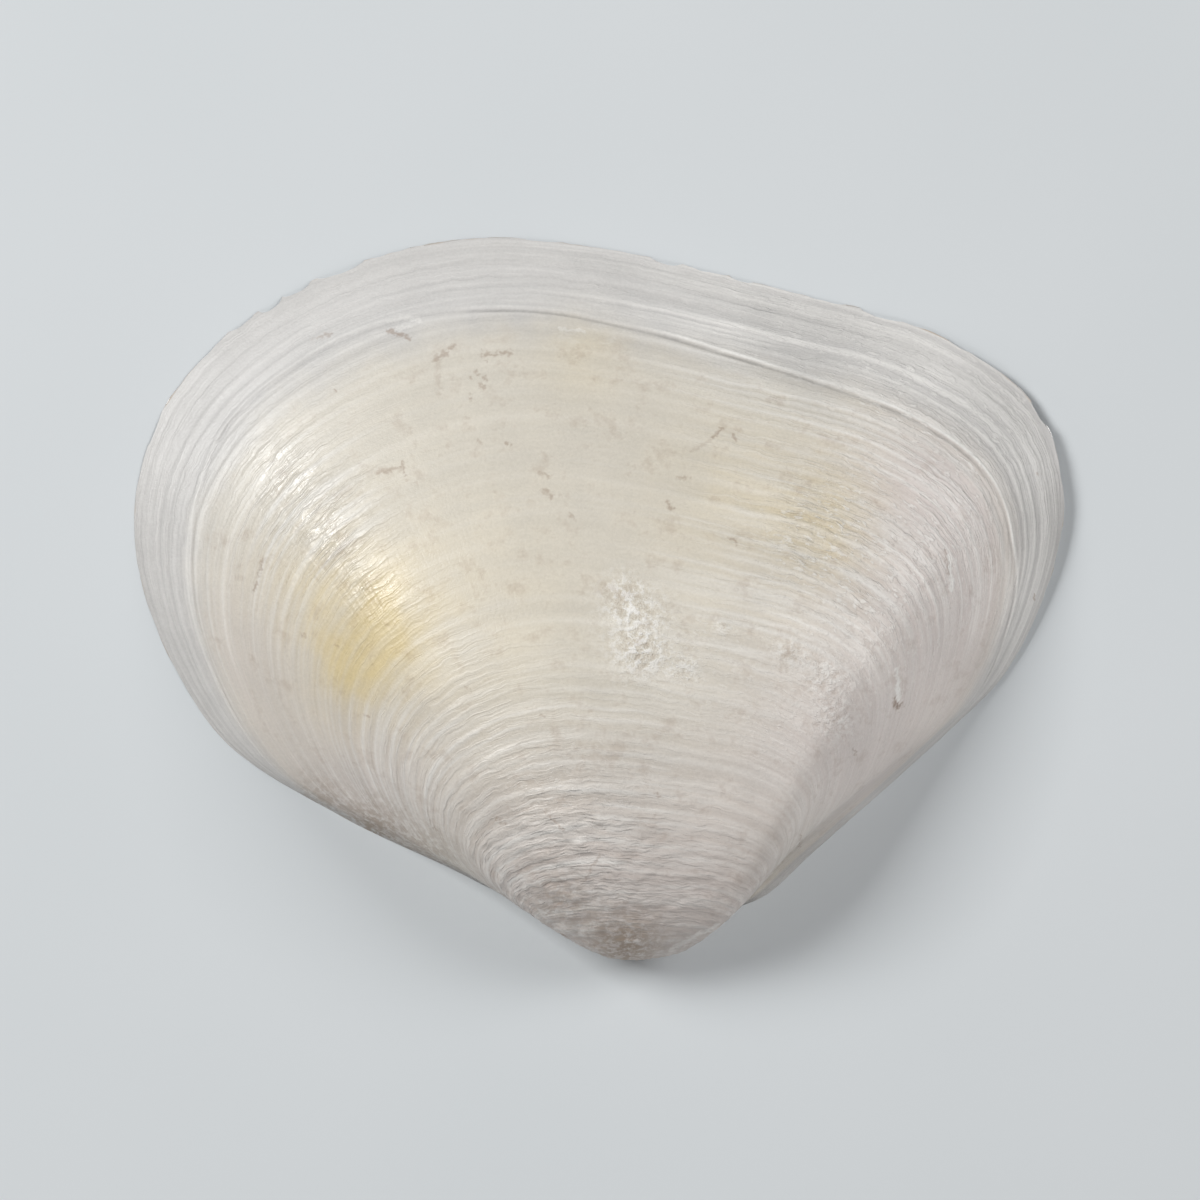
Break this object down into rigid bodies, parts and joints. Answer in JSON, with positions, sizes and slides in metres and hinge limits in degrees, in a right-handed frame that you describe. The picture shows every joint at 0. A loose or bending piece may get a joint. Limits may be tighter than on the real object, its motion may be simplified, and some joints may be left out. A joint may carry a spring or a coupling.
{
  "type": "bivalve shell valve",
  "caption": "Right valve of a macoma clam: a shallow chalky white dome with growth lines, a pointed beak and a hollow inside with a hinge plate, lying on its rim.",
  "frame": {"origin": "bottom centre of the bounding box, in the plane that the rim lies in", "axes": "+X to the narrow posterior end, +Y away from the hinge to the ventral margin, +Z out of the convex outside"},
  "size_m": [0.056, 0.0434, 0.0108],
  "materials": {
    "shell": "satin"
  },
  "bodies": {
    "root": {"valve": "shell"}
  },
  "joints": []
}
